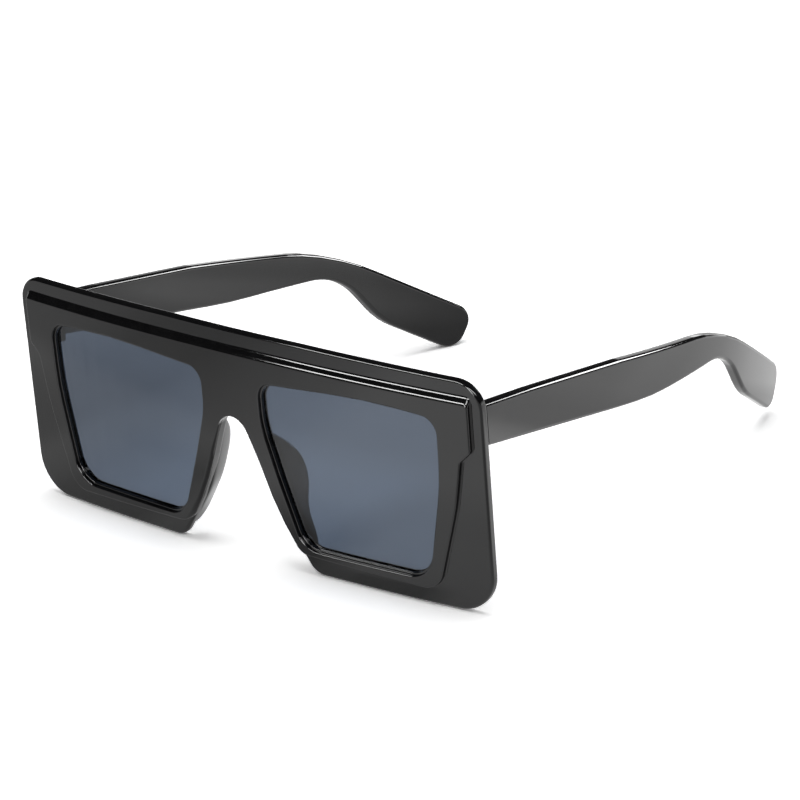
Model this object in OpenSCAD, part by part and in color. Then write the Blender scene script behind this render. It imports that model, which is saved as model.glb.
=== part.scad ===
// Oversized flat-top sunglasses, resting open on a surface.
// The front stands on its two lower lobes and the temples on their tips.
// +Z is up, the front faces -Y and the wearer's left is +X.
// Every piece of the front is drawn in the front's own frame, where z runs up the face,
// y runs back from the face and zero is the middle of the lower edge.

/* [Front] */
// Overall width
front_w = 145; // [132:1:158]
// Height of the front at its middle
front_h = 59.7; // [56:0.1:64]
// How much lower the top edge is at its corners
crown = 1; // [0.4:0.1:2]
// Thickness of the outer plate
plate_t = 2.2; // [2.1:0.1:3]
// How far the middle panel stands out of the plate
panel_t = 1.3; // [1.2:0.1:2.2]
// Radius of the bow of the whole front, seen from above
bow_r = 667; // [450:1:1500]
// Radius of the upper outer corners
top_corner_r = 7; // [2:0.5:8]
// Radius of the lower outer corners
low_corner_r = 10; // [4:0.5:14]
// Radius of the lower inner corners, beside the nose
lobe_corner_r = 5; // [2:0.5:6]

/* [Nose gap] */
// Height of the bridge, from the top edge down to the arch
bridge_h = 21.8; // [20.5:0.1:24.5]
// Radius of the arch
arch_r = 4.8; // [4:0.1:6]
// Lean of the nose edges away from upright, in degrees
nose_slope = 24.6; // [22:0.1:25]

/* [Raised panel] */
// Strip of plate that shows above the panel
panel_top_strip = 5.6; // [4.5:0.1:6.5]
// Strip of plate that shows beside the panel
panel_side_strip = 3; // [1:0.1:5]
// Length of the panel's straight upper side
panel_side_len = 12; // [8:0.5:16]
// How far the side steps inward below that
jog_w = 3; // [1:0.1:4]
// Height of that step
jog_h = 2.9; // [2:0.1:5]
// How far the panel's lower corner lies in from the plate's side
panel_foot_in = 14.2; // [12.5:0.1:14.5]
// Strip of plate that shows below the panel, at its outer corner
panel_foot_h = 4.2; // [2.5:0.1:4.6]
// Strip of plate that shows below the panel, beside the nose
panel_nose_h = 5.2; // [3:0.1:5.5]
// Radius of the panel's upper corner
panel_corner_r = 1.6; // [0.5:0.1:3]
// Radius of the panel's lower corners
panel_foot_r = 6; // [3:0.5:7]

/* [Lens openings] */
// Width of the bridge between the two openings
bridge_w = 18; // [17:0.1:20]
// Rim beside an opening, out to the plate's side
rim_beside = 11.7; // [11:0.1:13.5]
// Rim above an opening, up to the top edge
rim_above = 9.5; // [9:0.1:11.5]
// Rim below an opening, down to the lower edge
rim_below = 6.5; // [6:0.1:7]
// Width of the rebate round the front of an opening
rebate_w = 0.55; // [0.3:0.05:0.9]
// Depth of that rebate
rebate_d = 0.7; // [0.4:0.05:1.2]

/* [Lenses] */
// Thickness of a lens
lens_t = 1.4; // [1.2:0.1:1.5]
// Plate behind a lens
lens_lip_t = 0.55; // [0.4:0.05:0.8]
// How far a lens reaches into its groove
lens_bite = 0.75; // [0.5:0.05:0.9]
// Play of a lens in its groove
lens_play = 0.04; // [0.02:0.01:0.08]

/* [Temples] */
// Thickness of a temple
temple_t = 3.4; // [3.2:0.1:4]
// How far a temple's outer face lies in from the plate's side
temple_inset = 2.1; // [2:0.1:4]
// Height of the temple's root over its centre line
root_above = 4.85; // [4.5:0.05:5.5]
// Depth of the temple's root under its centre line
root_below = 5.6; // [5:0.05:6.5]
// Distance from the front to the bend over the ear
bend_at = 104.1; // [95:0.1:106]
// Height of the top edge over the centre line at the bend
bend_above = 4.9; // [4:0.1:5.5]
// How far the top edge rises over a straight line halfway to the bend
crest = 1.9; // [0:0.1:2.2]
// Radius of the top edge at the bend
bend_r = 100; // [40:1:120]
// Distance from the front to the place where the lower edge starts to rise
waist_at = 68; // [50:0.5:80]
// Depth of the lower edge under the centre line there
waist_below = 5.7; // [5:0.1:6]
// Distance from the front to the neck under the bend
neck_at = 107.3; // [104:0.1:112]
// Depth of the neck under the centre line
neck_below = 1.8; // [1.5:0.1:3]
// Angle by which the tip turns down, in degrees
hook_angle = 22.5; // [18:0.1:26]
// Length of the tip's upper edge
tip_len = 53.2; // [48:0.1:58]
// Width of the tip
tip_w = 12.3; // [10.5:0.1:13]
// Length of the tip's straight lower edge
heel_len = 27.4; // [24:0.1:29]
// Radius of the tip's two end corners
tip_r = 5; // [2:0.1:5.5]
// Distance from the front to where the temple starts to curve inward
curve_at = 48; // [30:0.5:90]
// Radius of that inward curve
curve_r = 313; // [250:1:600]
// Angle of the temples down from square to the front, in degrees
pantoscopic = 12.3; // [10.5:0.1:13]
// How many degrees higher the left temple stands, as on the pair in the photograph
left_lift = 1.4; // [0:0.1:2]

/* [Temple cores] */
// Thickness of the wire core
core_t = 1.2; // [0.8:0.1:1.5]
// Height of the wire core
core_h = 2.4; // [1.6:0.1:3]
// Distance from the front to the start of the core
core_start = 14; // [13:0.5:20]
// Bare length of temple past the end of the core
core_end_gap = 14; // [8:0.5:24]
// Play round the core
core_play = 0.03; // [0.02:0.01:0.06]

/* [Hinges] */
// How far the middle of a hinge lies below the top edge
hinge_below = 12.8; // [12.2:0.1:13.7]
// Thickness of the end piece behind the plate
end_piece_t = 3; // [2.8:0.1:3.4]
// Width of the end piece
end_piece_w = 8.2; // [8:0.1:8.6]
// Radius of the knuckles
knuckle_r = 1.3; // [1.2:0.05:1.4]
// Height of one knuckle
knuckle_h = 1.5; // [1.3:0.05:1.6]
// Play between two knuckles
knuckle_play = 0.08; // [0.05:0.01:0.12]
// Thickness of the leaves
leaf_t = 0.9; // [0.7:0.05:1]
// Width of the front leaf, from the pin's axis
front_leaf_w = 3.9; // [3.4:0.1:4.1]
// Length of the temple leaf, from the pin's axis
temple_leaf_l = 9.5; // [8:0.1:11]
// Play between the butt faces of front and temple
butt_play = 0.1; // [0.05:0.01:0.2]
// Room round the knuckles
knuckle_room = 0.25; // [0.15:0.01:0.35]

/* [Screws and rivets] */
// Radius of the hinge screw's shank
screw_r = 0.6; // [0.5:0.05:0.7]
// Radius of the hinge screw's head
screw_head_r = 1.15; // [0.95:0.05:1.2]
// Height of the hinge screw's head
screw_head_h = 0.6; // [0.4:0.05:0.7]
// Running clearance of the screw in its knuckles
screw_play = 0.05; // [0.02:0.01:0.08]
// Width of the screw's slot
slot_w = 0.35; // [0.25:0.05:0.5]
// Depth of the screw's slot
slot_d = 0.25; // [0.15:0.05:0.3]
// Radius of the rivets
rivet_r = 0.55; // [0.45:0.05:0.65]
// Depth of the rivets past their leaf
rivet_bite = 1.4; // [1:0.1:1.5]
// Play of the rivets in their holes
rivet_play = 0.02; // [0.01:0.01:0.04]

/* [Nose pads] */
// Depth of a pad behind the plate
pad_depth = 7.1; // [5:0.1:7.5]
// How far a pad's upper end lies below the top of the arch
pad_below = 6.4; // [5.4:0.1:7.9]
// Height of a pad's lower end over the front's lower edge
pad_low = 10.5; // [9:0.1:13]
// Thickness of a pad
pad_t = 3.6; // [3:0.1:3.8]
// Distance of a pad's rear edge from the nose edge, to the middle of its thickness
pad_flare = 3.2; // [2.2:0.1:3.4]

/* [Hidden] */

// Overrun of every cut past the face that it opens
over = 1;
// Degrees between two points on a rounded corner
facet_angle = 9;
// Facets of the pins, bores and knuckles
round_fn = 48;
// Facets of the wide arcs of the front and the temples, for the full turn
arc_fn = 900;
// Facets of the balls that a pad is drawn round
pad_fn = 24;
// Radii of the gentle bends of the front's outlines
crown_r = 1500;
panel_side_r = 60;
// How far in and down the panel's side bends, between its step and its lower corner
panel_waist_shares = [0.23, 0.34];
// Shares of an opening's width and height, and radii of its corners in shares of its height
opening_shares = [
    [0.600, 1.000, 3.40],
    [1.000, 0.966, 0.115],
    [0.996, 0.585, 1.40],
    [0.909, 0.004, 0.172],
    [0.193, 0.002, 0.160],
    [0.075, 0.410, 1.40],
    [0.000, 0.700, 0.57],
    [0.000, 0.950, 0.103],
];
// Sections of a pad: shares of its length, its depth, its flare and its thickness
pad_shares = [
    [0.929, 0.376, 0.43, 0.83],
    [0.786, 0.734, 1.00, 1.00],
    [0.500, 0.754, 0.83, 1.00],
    [0.214, 0.350, 0.28, 0.89],
    [0.057, 0.050, 0.20, 0.78],
];
// Radii of a temple's lower edge at its neck, heel and waist, and of its upper edge at its crest
neck_r = 22;
heel_r = 28;
waist_r = 150;
crest_r = 900;
// Shares of the front leaf's height and of the temple leaf's length at which its rivets sit
front_rivet_share = 0.3;
temple_rivet_shares = [0.4, 0.78];
// Knuckles on one pin, both leaves together
knuckles = 5;
// Share of the plate's thickness, at the end piece's outer side, that lies in front of its start
end_piece_sink_share = 0.25;

half_w = front_w / 2;
arch_h = front_h - bridge_h;
opening_w = half_w - bridge_w / 2 - rim_beside;
opening_h = front_h - rim_above - rim_below;
hinge_h = front_h - hinge_below;
pad_top = arch_h - pad_below;
butt_x = half_w - temple_inset;
temple_in_x = butt_x - temple_t;
pin_x = temple_in_x + leaf_t - knuckle_r;
butt_y = bow_at(pin_x) + plate_t + end_piece_t;
pin_y = butt_y - leaf_t + knuckle_r;
knuckle_pitch = knuckle_h + knuckle_play;
barrel_h = knuckles * knuckle_pitch - knuckle_play;
lens_back = plate_t - lens_lip_t;
lens_face = lens_back - lens_t;

// Outline of the temple in its own frame: along the centre line and up from it
hook_dir = [cos(hook_angle), -sin(hook_angle)];
hook_up = [sin(hook_angle), cos(hook_angle)];
bend = [bend_at, bend_above];
tip_top = bend + tip_len * hook_dir;
tip_low = tip_top - tip_w * hook_up;
heel = tip_low - heel_len * hook_dir;
neck = [neck_at, -neck_below];

// The open glasses rest on the lobes of the front and on the tips, which sets their lean
tip_low_centre = in_front_plane(tip_low + tip_r * (hook_up - hook_dir), pantoscopic);
lobe_x = nose_x(0) + lobe_corner_r;
reach = tip_low_centre - [bow_at(lobe_x), 0];
lean = asin(tip_r / norm(reach)) - atan2(reach[1], reach[0]);
rest_lift = -bow_at(lobe_x) * sin(lean);
panel_top_z = front_h - panel_top_strip;
back_end = max([for (side = [-1, 1]) tip_end(side)]);
front_end = turn([-panel_t, panel_top_z], lean)[0];
middle_y = (back_end + front_end) / 2;

function turn(p, a) = [p[0] * cos(a) - p[1] * sin(a), p[0] * sin(a) + p[1] * cos(a)];
function unit(v) = v / norm(v);
// How far the bowed front lies back at a distance from its middle
function bow_at(x) = bow_r - sqrt(bow_r * bow_r - x * x);
// Distance of the nose edge from the middle at a height
function nose_x(z) = (arch_h + arch_r / sin(nose_slope) - arch_r - z) * tan(nose_slope);
// A point of the temple's own frame in the front's frame: back and up
function in_front_plane(p, drop) = [butt_y + butt_play, hinge_h] + turn(p, -drop);
// Angle of one temple down from square to the front
function drop_of(side) = pantoscopic - (side > 0 ? left_lift : 0);
// How far back one temple's tip reaches in the resting glasses
function tip_end(side) =
    turn(in_front_plane(tip_top - tip_r * (hook_up + hook_dir), drop_of(side)), lean)[0] + tip_r;

// Points of the round at corner b, between the sides towards a and c
function round_corner(a, b, c, r) =
    let (
        u = unit(a - b), v = unit(c - b),
        half = acos(u * v) / 2,
        centre = b + unit(u + v) * r / sin(half),
        start = b + u * r / tan(half) - centre,
        side = sign(cross(u, v)),
        sweep = 180 - 2 * half,
        steps = max(2, ceil(sweep / facet_angle))
    )
    [for (i = [0 : steps]) centre + turn(start, -side * sweep * i / steps)];

// Closed outline through corners given as [x, y, radius]
function rounded(corners) =
    let (n = len(corners), p = [for (q = corners) [q[0], q[1]]])
    [for (i = [0 : n - 1])
        each corners[i][2] == 0 ? [p[i]]
            : round_corner(p[(i + n - 1) % n], p[i], p[(i + 1) % n], corners[i][2])];

// A half outline from the top middle to the nose edge, and its mirror image
function whole(half) =
    let (n = len(half))
    concat(half, [for (i = [n - 2 : -1 : 1]) [-half[i][0], half[i][1], half[i][2]]]);

arch_corner = [0, arch_h + arch_r / sin(nose_slope) - arch_r, arch_r];

plate_corners = whole([
    [0, front_h, crown_r],
    [half_w, front_h - crown, top_corner_r],
    [half_w, 0, low_corner_r],
    [nose_x(0), 0, lobe_corner_r],
    arch_corner,
]);

panel_x = half_w - panel_side_strip;
panel_corner_z = panel_top_z - crown * panel_x / half_w / 2;
jog_z = panel_corner_z - panel_side_len;
foot_x = half_w - panel_foot_in;
panel_waist = [panel_x - jog_w, jog_z - jog_h]
    - [panel_waist_shares[0] * (panel_x - jog_w - foot_x),
       panel_waist_shares[1] * (jog_z - jog_h - panel_foot_h)];

panel_corners = whole([
    [0, panel_top_z, crown_r],
    [panel_x, panel_corner_z, panel_corner_r],
    [panel_x, jog_z, panel_corner_r],
    [panel_x - jog_w, jog_z - jog_h, panel_corner_r],
    [panel_waist[0], panel_waist[1], panel_side_r],
    [foot_x, panel_foot_h, panel_foot_r],
    [nose_x(panel_nose_h), panel_nose_h, panel_foot_r],
    arch_corner,
]);

opening_corners = [for (s = opening_shares)
    [bridge_w / 2 + s[0] * opening_w, rim_below + s[1] * opening_h, s[2] * opening_h]];

function temple_corners(drop) = [
    [-root_above * tan(drop), root_above, 0],
    [bend_at / 2, (root_above + bend_above) / 2 + crest, crest_r],
    [bend[0], bend[1], bend_r],
    [tip_top[0], tip_top[1], tip_r],
    [tip_low[0], tip_low[1], tip_r],
    [heel[0], heel[1], heel_r],
    [neck[0], neck[1], neck_r],
    [waist_at, -waist_below, waist_r],
    [root_below * tan(drop), -root_below, 0],
];

// Centre line of the core, up to the bend and down the tip
core_bend = (bend + neck) / 2;
core_end = (tip_top + tip_low) / 2 - core_end_gap * hook_dir;
core_bend_r = (bend_r + neck_r) / 2;

module core_strip(play) {
    up = [0, core_h / 2 + play];
    tip_up = hook_up * (core_h / 2 + play);
    polygon(rounded([
        [core_start - play, up[1], 0],
        [core_bend[0], core_bend[1] + up[1], core_bend_r],
        [core_end[0] + tip_up[0], core_end[1] + tip_up[1], 0],
        [core_end[0] - tip_up[0], core_end[1] - tip_up[1], 0],
        [core_bend[0], core_bend[1] - up[1], core_bend_r],
        [core_start - play, -up[1], 0],
    ]));
}

// Puts a piece of the front's frame into the resting glasses
module resting() {
    translate([0, -middle_y, rest_lift]) rotate([lean, 0, 0]) children();
}

// The wearer's left side as drawn, or its mirror image on the right
module on_side(side) {
    mirror([side < 0 ? 1 : 0, 0, 0]) children();
}

// A flat shape of the face, run from front to back through the whole front
module through_front() {
    deep = bow_at(half_w) + plate_t + panel_t + 2 * over;
    translate([0, deep - panel_t - over, 0]) rotate([90, 0, 0]) linear_extrude(deep) children();
}

// The bowed layer of the front between two depths behind the plate's face
module bow_layer(from, to) {
    sweep = 2 * asin((half_w + over) / (bow_r - to));
    translate([0, bow_r, -over])
        rotate([0, 0, 270 - sweep / 2])
            rotate_extrude(angle = sweep, $fn = arc_fn)
                translate([bow_r - to, 0]) square([to - from, front_h + 2 * over]);
}

module opening_outline(grow) {
    offset(delta = grow) polygon(rounded(opening_corners));
}

// Cylinder along the hinge pin's axis, from one height to another over the hinge's middle
module about_pin(r, from, to) {
    translate([pin_x, pin_y, hinge_h + from]) cylinder(r = r, h = to - from, $fn = round_fn);
}

// Height of the lower face of a knuckle over the hinge's middle
function knuckle_z(i) = i * knuckle_pitch - barrel_h / 2;

module knuckle_room_cut() {
    about_pin(knuckle_r + knuckle_room,
              -barrel_h / 2 - screw_head_h - knuckle_room,
              barrel_h / 2 + screw_head_h + knuckle_room);
}

module front_leaf_plate(play) {
    translate([pin_x - front_leaf_w - play, butt_y - leaf_t - play, hinge_h - barrel_h / 2 - play])
        cube([front_leaf_w + play, leaf_t + play + (play > 0 ? over : 0), barrel_h + 2 * play]);
}

module temple_leaf_plate(play) {
    inward = play > 0 ? over : 0;
    translate([temple_in_x - inward, pin_y, hinge_h - barrel_h / 2 + knuckle_pitch - play])
        cube([leaf_t + play + inward, temple_leaf_l + play,
              (knuckles - 2) * knuckle_pitch - knuckle_play + 2 * play]);
}

module at_front_rivets() {
    for (s = [-1, 1])
        translate([pin_x - (front_leaf_w + knuckle_r) / 2, butt_y,
                   hinge_h + s * front_rivet_share * barrel_h])
            rotate([90, 0, 0]) children();
}

module at_temple_rivets() {
    for (s = temple_rivet_shares)
        translate([temple_in_x, pin_y + s * temple_leaf_l, hinge_h]) rotate([0, 90, 0]) children();
}

module rivet(play) {
    start = play > 0 ? over : 0;
    translate([0, 0, -start])
        cylinder(r = rivet_r + play, h = leaf_t + rivet_bite + start + play, $fn = round_fn);
}

// A leaf of the hinge: its knuckles, with room cut for those of the other leaf
module leaf_knuckles(first) {
    difference() {
        union() {
            children();
            for (i = [first : 2 : knuckles - 1])
                about_pin(knuckle_r, knuckle_z(i), knuckle_z(i) + knuckle_h);
        }
        for (i = [1 - first : 2 : knuckles - 1])
            about_pin(knuckle_r + knuckle_room,
                      knuckle_z(i) - knuckle_play, knuckle_z(i) + knuckle_h + knuckle_play);
        about_pin(screw_r + screw_play, -barrel_h / 2 - over, barrel_h / 2 + over);
    }
}

// The end piece stands behind the plate and meets the whole root of its temple
module end_piece(side) {
    up = 1 / cos(drop_of(side));
    start = bow_at(butt_x) + end_piece_sink_share * plate_t;
    translate([butt_x - end_piece_w, start, hinge_h - root_below * up])
        cube([end_piece_w, butt_y - start, (root_above + root_below) * up]);
}

module front_frame() {
    color([0.05, 0.05, 0.055]) resting() difference() {
        union() {
            intersection() {
                through_front() polygon(rounded(plate_corners));
                bow_layer(0, plate_t);
            }
            intersection() {
                through_front() polygon(rounded(panel_corners));
                bow_layer(-panel_t, plate_t);
            }
            for (side = [-1, 1]) on_side(side) end_piece(side);
        }
        for (side = [-1, 1]) on_side(side) {
            through_front() opening_outline(-rebate_w);
            intersection() {
                through_front() opening_outline(0);
                bow_layer(-panel_t - over, rebate_d - panel_t);
            }
            intersection() {
                through_front() opening_outline(lens_bite - rebate_w + lens_play);
                bow_layer(lens_face - lens_play, lens_back + lens_play);
            }
            front_leaf_plate(rivet_play);
            knuckle_room_cut();
            at_front_rivets() rivet(rivet_play);
        }
    }
}

module lens(side) {
    color([0.36, 0.39, 0.43, 0.5]) resting() on_side(side) intersection() {
        through_front() opening_outline(lens_bite - rebate_w);
        bow_layer(lens_face, lens_back);
    }
}

// A pad is drawn round balls that follow the nose edge, deepest at its middle
module nose_pad(side) {
    color([0.08, 0.08, 0.085]) resting() on_side(side) difference() {
        hull() for (s = pad_shares) {
            z = pad_low + s[0] * (pad_top - pad_low);
            ball_r = s[3] * pad_t / 2;
            translate([nose_x(z) + ball_r, plate_t, z]) sphere(r = ball_r, $fn = pad_fn);
            translate([nose_x(z) + s[2] * pad_flare, plate_t + s[1] * pad_depth, z])
                sphere(r = ball_r, $fn = pad_fn);
        }
        bow_layer(-panel_t - pad_t, plate_t);
    }
}

// The temple's frame: y along its centre line from the butt face, z up from it
module in_temple(side) {
    translate([0, butt_y + butt_play, hinge_h]) rotate([-drop_of(side), 0, 0]) children();
}

// A band of the temple's plan between two faces, straight and then curving inward
module plan_band(out_x, t, tall) {
    sweep = asin((tip_top[0] + over - curve_at) / (curve_r - temple_t));
    translate([out_x - t, -root_above, -tall / 2]) cube([t, curve_at + root_above, tall]);
    translate([butt_x - curve_r, curve_at, -tall / 2])
        rotate_extrude(angle = sweep, $fn = arc_fn)
            translate([curve_r - (butt_x - out_x) - t, 0]) square([t, tall]);
}

// A flat shape of the temple's side, run across its whole thickness
module across_temple() {
    wide = curve_r + over;
    translate([butt_x + over - wide, 0, 0]) rotate([90, 0, 90]) linear_extrude(wide) children();
}

module core_body(play) {
    tall = 2 * (norm(tip_low) + over);
    intersection() {
        across_temple() core_strip(play);
        plan_band(butt_x - (temple_t - core_t) / 2 + play, core_t + 2 * play, tall);
    }
}

module temple(side) {
    tall = 2 * (norm(tip_low) + over);
    color([0.10, 0.10, 0.105]) resting() on_side(side) difference() {
        in_temple(side) difference() {
            intersection() {
                across_temple() polygon(rounded(temple_corners(drop_of(side))));
                plan_band(butt_x, temple_t, tall);
            }
            core_body(core_play);
        }
        temple_leaf_plate(rivet_play);
        knuckle_room_cut();
        at_temple_rivets() rivet(rivet_play);
    }
}

module temple_core(side) {
    color("silver") resting() on_side(side) in_temple(side) core_body(0);
}

module front_leaf(side) {
    color("silver") resting() on_side(side) difference() {
        leaf_knuckles(0) front_leaf_plate(0);
        at_front_rivets() rivet(rivet_play);
    }
}

module temple_leaf(side) {
    color("silver") resting() on_side(side) difference() {
        leaf_knuckles(1) temple_leaf_plate(0);
        at_temple_rivets() rivet(rivet_play);
    }
}

module hinge_screw(side) {
    color("gainsboro") resting() on_side(side) difference() {
        union() {
            about_pin(screw_r, -barrel_h / 2, barrel_h / 2 + screw_head_h / 2);
            about_pin(screw_head_r, barrel_h / 2, barrel_h / 2 + screw_head_h);
        }
        translate([pin_x - slot_w / 2, pin_y - screw_head_r - over, hinge_h + barrel_h / 2 + screw_head_h - slot_d])
            cube([slot_w, 2 * (screw_head_r + over), slot_d + over]);
    }
}

module front_rivets(side) {
    color("gainsboro") resting() on_side(side) at_front_rivets() rivet(0);
}

module temple_rivets(side) {
    color("gainsboro") resting() on_side(side) at_temple_rivets() rivet(0);
}

front_frame();
lens(1);  // lens_left
lens(-1);  // lens_right
nose_pad(1);  // nose_pad_left
nose_pad(-1);  // nose_pad_right
temple(1);  // temple_left
temple(-1);  // temple_right
temple_core(1);  // temple_core_left
temple_core(-1);  // temple_core_right
front_leaf(1);  // front_leaf_left
front_leaf(-1);  // front_leaf_right
temple_leaf(1);  // temple_leaf_left
temple_leaf(-1);  // temple_leaf_right
hinge_screw(1);  // hinge_screw_left
hinge_screw(-1);  // hinge_screw_right
front_rivets(1);  // front_rivets_left
front_rivets(-1);  // front_rivets_right
temple_rivets(1);  // temple_rivets_left
temple_rivets(-1);  // temple_rivets_right
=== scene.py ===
"""Oversized flat-top sunglasses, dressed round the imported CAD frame.

Every piece is drawn in millimetres in the front's own frame, where x runs across, z up the face
and y back from the face, and is then bowed, leaned and set down in the row frame in metres.
"""

from __future__ import annotations

import logging
import math
from dataclasses import dataclass
from enum import Enum
from typing import Callable, Iterable, Sequence

import bmesh
import bpy
from mathutils import Matrix, Vector


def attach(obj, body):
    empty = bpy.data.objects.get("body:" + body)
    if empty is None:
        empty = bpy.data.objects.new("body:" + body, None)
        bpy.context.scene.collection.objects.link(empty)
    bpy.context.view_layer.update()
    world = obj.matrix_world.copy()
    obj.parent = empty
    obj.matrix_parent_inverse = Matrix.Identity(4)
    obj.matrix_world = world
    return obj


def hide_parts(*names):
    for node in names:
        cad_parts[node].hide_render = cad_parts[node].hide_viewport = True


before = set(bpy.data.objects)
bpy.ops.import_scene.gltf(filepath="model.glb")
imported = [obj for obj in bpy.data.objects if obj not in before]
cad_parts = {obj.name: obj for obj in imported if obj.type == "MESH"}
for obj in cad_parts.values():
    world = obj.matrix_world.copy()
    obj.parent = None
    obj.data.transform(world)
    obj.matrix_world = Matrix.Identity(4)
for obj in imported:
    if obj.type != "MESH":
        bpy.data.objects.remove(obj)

log = logging.getLogger("sunglasses")

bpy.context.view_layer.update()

MM = 0.001

# Millimetres: what counts as one place, the overlap of two cuts, and the reach of a cutting tool
SAME_PLACE = 1e-4
HAIR = 0.01
TOOL_REACH = 2.0

# Millimetres behind the plate's face: a lens's own face, its back, and where the cuts for it meet
LENS_FACE = 0.25
LENS_BACK = 1.65
LENS_MIDDLE = (LENS_FACE + LENS_BACK) / 2

# The share under which a thing counts as not there
TRACE = 1e-6

# Segments of the rounds, by how closely they are seen
DEGREES_PER_STEP = 5.0
FINE_ROUND = 6
RIM_ROUND = 5
PLAIN_ROUND = 4
SLIGHT_ROUND = 2

# The weight of the slow wave over the grain, and the noise at which a mark starts and is full
WAVE_OVER_GRAIN = 6.0
MARK_RANGE = (0.42, 0.72)

# The place of a floor zone's edge that is left out
FAR = 9.0

WHITE = (1.0, 1.0, 1.0, 1.0)

Place = Callable[[Vector], Vector]
Lay = Callable[[float, float], Vector]
Test = Callable[..., bool]


class Side(Enum):
    """The wearer's left and right, with the sign of x on each."""

    LEFT = 1
    RIGHT = -1

    @property
    def word(self) -> str:
        """The side's name as the CAD nodes spell it."""
        return self.name.lower()


class Element(Enum):
    """What a selection picks in edit mode."""

    VERT = "VERT"
    EDGE = "EDGE"
    FACE = "FACE"


@dataclass(frozen=True)
class Corner:
    """One corner of a flat outline, with the radius that rounds it."""

    u: float
    v: float
    r: float = 0.0


def turned(u: float, v: float, degrees: float) -> tuple[float, float]:
    """Turns a flat point about the origin, anticlockwise."""
    a = math.radians(degrees)
    return u * math.cos(a) - v * math.sin(a), u * math.sin(a) + v * math.cos(a)


def grown(corners: Sequence[Corner], by: float) -> list[Corner]:
    """Moves an anticlockwise outline outward, its radii with it.

    Args:
        corners: the outline's corners.
        by: distance between the old sides and the new ones.

    Returns:
        The corners of the wider outline.
    """
    wide = []
    for i, c in enumerate(corners):
        before, after = corners[i - 1], corners[(i + 1) % len(corners)]
        a = Vector((c.u - before.u, c.v - before.v)).normalized()
        b = Vector((after.u - c.u, after.v - c.v)).normalized()
        out = Vector((a.y + b.y, -a.x - b.x)).normalized()
        reach = by / out.dot(Vector((a.y, -a.x)))
        radius = max(c.r + math.copysign(by, a.x * b.y - a.y * b.x), 0.0)
        wide.append(Corner(c.u + out.x * reach, c.v + out.y * reach, radius))
    return wide


def quarter(radius: float, steps: int) -> list[tuple[float, float]]:
    """Inset steps that follow a quarter round, from the face into the wall.

    Args:
        radius: the round's radius.
        steps: how many insets make it.

    Returns:
        A thickness and a depth for each inset.
    """
    angles = [math.pi / 2 * i / steps for i in range(steps + 1)]
    return [
        (radius * (math.sin(b) - math.sin(a)), radius * (math.cos(a) - math.cos(b)))
        for a, b in zip(angles, angles[1:])
    ]


def spaced(start: float, stop: float, step: float) -> list[float]:
    """Even places between two ends, the ends left out."""
    n = math.ceil((stop - start) / step)
    return [start + (stop - start) * i / n for i in range(1, n)]


def on_face(y: float) -> Lay:
    """Lays a flat outline on the front, at a depth behind the plate's face."""
    return lambda u, v: Vector((u, y, v))


def at_depth(y: float) -> Test:
    """Picks the cap of a draft at a depth, or the edges that run round it."""
    return lambda element: all(abs(v.co.y - y) < SAME_PLACE for v in element.verts)


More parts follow.
